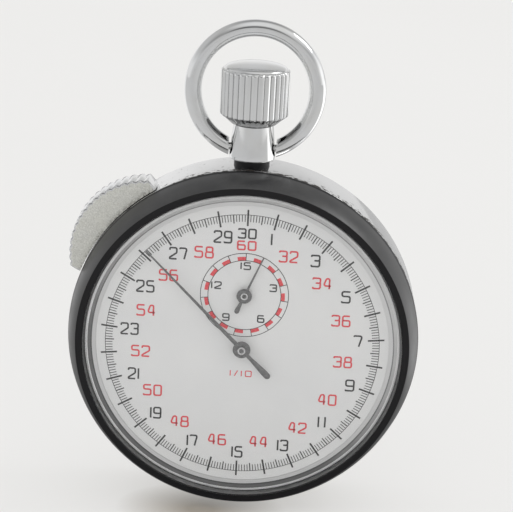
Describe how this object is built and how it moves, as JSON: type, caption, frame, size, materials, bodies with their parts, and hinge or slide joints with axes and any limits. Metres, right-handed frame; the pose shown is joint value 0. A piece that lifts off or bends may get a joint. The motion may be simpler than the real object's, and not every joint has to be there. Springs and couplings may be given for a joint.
{
  "type": "mechanical stopwatch",
  "caption": "Round hand-held mechanical stopwatch with a black bezel, domed crystal, small minute counter, fluted crown in a ring bow and a thumb slide on the band.",
  "frame": {"origin": "centre of the case back's flat outer face", "axes": "+Z towards the crown and bow, -Y out through the dial and crystal, +X to the right seen from the dial side"},
  "size_m": [0.0522, 0.016, 0.0731],
  "materials": {
    "chrome": "worn polished chrome",
    "black_bezel": "dark semi-gloss coating",
    "acrylic": "clear domed crystal",
    "gasket": "matt",
    "dial_paint": "matt pale grey",
    "dark_hands": "satin dark",
    "nickel": "nickel-plated, grained",
    "brass": "gilt",
    "ruby": "polished",
    "steel": "ground"
  },
  "bodies": {
    "case": {"case_middle": "chrome", "case_back": "chrome", "back_gasket": "gasket", "bezel": "black_bezel", "crystal": "acrylic", "reflector_ring": "chrome", "pendant": "chrome", "crown_spring": "steel", "dial": "dial_paint", "mainplate": "nickel", "barrel_bridge": "nickel", "train_bridge": "nickel", "balance_cock": "nickel", "pallet_cock": "nickel", "bridge_screws": "steel", "case_screws": "steel", "click_spring": "steel", "crown_wheel_screw": "steel", "hairspring": "steel", "regulator": "steel", "balance_jewels": "ruby", "hammer_spring": "steel", "lever_screws": "steel"},
    "bow": {"bow": "chrome"},
    "pusher": {"pusher_sleeve": "steel"},
    "crown": {"crown": "chrome", "winding_stem": "steel"},
    "thumb_slide": {"thumb_slide": "chrome", "slide_retainer": "steel"},
    "sweep": {"sweep_arbor": "steel", "sweep_wheel": "brass", "sweep_heart": "steel", "seconds_hand": "dark_hands"},
    "third": {"third_wheel": "brass", "third_pinion": "steel"},
    "second": {"second_wheel": "brass", "second_pinion": "steel"},
    "barrel": {"barrel_drum": "brass", "barrel_cover": "brass", "mainspring": "steel"},
    "escape": {"escape_wheel": "steel", "escape_pinion": "steel"},
    "intermediate": {"minute_intermediate": "brass"},
    "minute": {"minute_counter_wheel": "brass", "minute_heart": "steel", "minute_hand": "dark_hands"},
    "winding_pinion": {"winding_pinion": "steel"},
    "crown_wheel": {"crown_wheel": "steel"},
    "ratchet": {"ratchet_wheel": "steel", "ratchet_screw": "steel", "barrel_arbor": "steel"},
    "operating_lever": {"operating_lever": "steel"},
    "stop_lever": {"stop_lever": "steel"},
    "reset_hammer": {"reset_hammer": "steel"},
    "click": {"click": "steel"},
    "column_wheel": {"column_wheel": "steel"},
    "pallet_fork": {"pallet_fork": "steel", "pallet_stones": "ruby"},
    "balance": {"balance_wheel": "brass", "balance_staff": "steel"}
  },
  "joints": [
    {"name": "seconds", "type": "hinge", "parent": "case", "child": "sweep", "pos_m": [0, 0, 0], "axis": [0, 1, 0], "continuous": true},
    {"name": "third", "type": "hinge", "parent": "case", "child": "third", "pos_m": [-0.00431, 0, -0.00459], "axis": [0, 1, 0], "continuous": true},
    {"name": "second", "type": "hinge", "parent": "case", "child": "second", "pos_m": [-0.00753, 0, 0.00082], "axis": [0, 1, 0], "continuous": true},
    {"name": "barrel", "type": "hinge", "parent": "case", "child": "barrel", "pos_m": [-0.0096, 0, 0.00855], "axis": [0, 1, 0], "continuous": true},
    {"name": "escape", "type": "hinge", "parent": "case", "child": "escape", "pos_m": [0.00533, 0, -0.00308], "axis": [0, 1, 0], "continuous": true},
    {"name": "intermediate", "type": "hinge", "parent": "case", "child": "intermediate", "pos_m": [-0.00292, 0, 0.00394], "axis": [0, 1, 0], "continuous": true},
    {"name": "minute", "type": "hinge", "parent": "case", "child": "minute", "pos_m": [0, 0, 0.00805], "axis": [0, 1, 0], "continuous": true},
    {"name": "crown_push", "type": "slide", "parent": "case", "child": "pusher", "axis": [0, 0, -1], "range_m": [0, 0.0012], "deforming": ["crown_spring"]},
    {"name": "crown_turn", "type": "hinge", "parent": "pusher", "child": "crown", "pos_m": [0, -0.0054, 0.035], "axis": [0, 0, 1], "continuous": true},
    {"name": "winding_pinion", "type": "hinge", "parent": "case", "child": "winding_pinion", "pos_m": [0, -0.0054, 0.0175], "axis": [0, 0, 1], "continuous": true},
    {"name": "crown_wheel", "type": "hinge", "parent": "case", "child": "crown_wheel", "pos_m": [0, 0, 0.0135], "axis": [0, -1, 0], "continuous": true},
    {"name": "ratchet", "type": "hinge", "parent": "case", "child": "ratchet", "pos_m": [-0.0096, 0, 0.00855], "axis": [0, -1, 0], "continuous": true},
    {"name": "operating_lever", "type": "hinge", "parent": "case", "child": "operating_lever", "pos_m": [0.0136, 0, 0.0136], "axis": [0, -1, 0], "range_deg": [0, 6]},
    {"name": "thumb_slide", "type": "hinge", "parent": "case", "child": "thumb_slide", "pos_m": [0, 0, 0], "axis": [0, -1, 0], "range_deg": [0, 8]},
    {"name": "stop_lever", "type": "hinge", "parent": "case", "child": "stop_lever", "pos_m": [-0.0176, 0, -0.0068], "axis": [0, -1, 0], "range_deg": [0, 2]},
    {"name": "reset_hammer", "type": "hinge", "parent": "case", "child": "reset_hammer", "pos_m": [0.005, 0, -0.013], "axis": [0, -1, 0], "range_deg": [0, 4]},
    {"name": "click", "type": "hinge", "parent": "case", "child": "click", "pos_m": [-0.0093, 0, 0.0172], "axis": [0, 1, 0], "range_deg": [0, 8]},
    {"name": "column_wheel", "type": "hinge", "parent": "case", "child": "column_wheel", "pos_m": [0.0115, 0, 0.0095], "axis": [0, 1, 0], "continuous": true},
    {"name": "pallet_fork", "type": "hinge", "parent": "case", "child": "pallet_fork", "pos_m": [0.00688, 0, -0.00599], "axis": [0, 1, 0], "range_deg": [-4, 4]},
    {"name": "balance", "type": "hinge", "parent": "case", "child": "balance", "pos_m": [0.0089, 0, -0.00979], "axis": [0, 1, 0], "range_deg": [-135, 135]},
    {"name": "bow_swing", "type": "hinge", "parent": "case", "child": "bow", "pos_m": [0, -0.0054, 0.02865], "axis": [1, 0, 0], "range_deg": [-86, 88]}
  ],
  "couplings": [
    {"joint": "third", "follows": "seconds", "ratio": -0.16667},
    {"joint": "second", "follows": "seconds", "ratio": 0.027778},
    {"joint": "barrel", "follows": "seconds", "ratio": -0.0039683},
    {"joint": "escape", "follows": "seconds", "ratio": -10},
    {"joint": "intermediate", "follows": "seconds", "ratio": -0.16667},
    {"joint": "minute", "follows": "seconds", "ratio": 0.033333},
    {"joint": "winding_pinion", "follows": "crown_turn", "ratio": 1},
    {"joint": "crown_wheel", "follows": "crown_turn", "ratio": 0.57143},
    {"joint": "ratchet", "follows": "crown_turn", "ratio": -0.36364},
    {"joint": "operating_lever", "follows": "crown_push", "rad_per_m": 82},
    {"joint": "stop_lever", "follows": "thumb_slide", "ratio": 0.25}
  ]
}
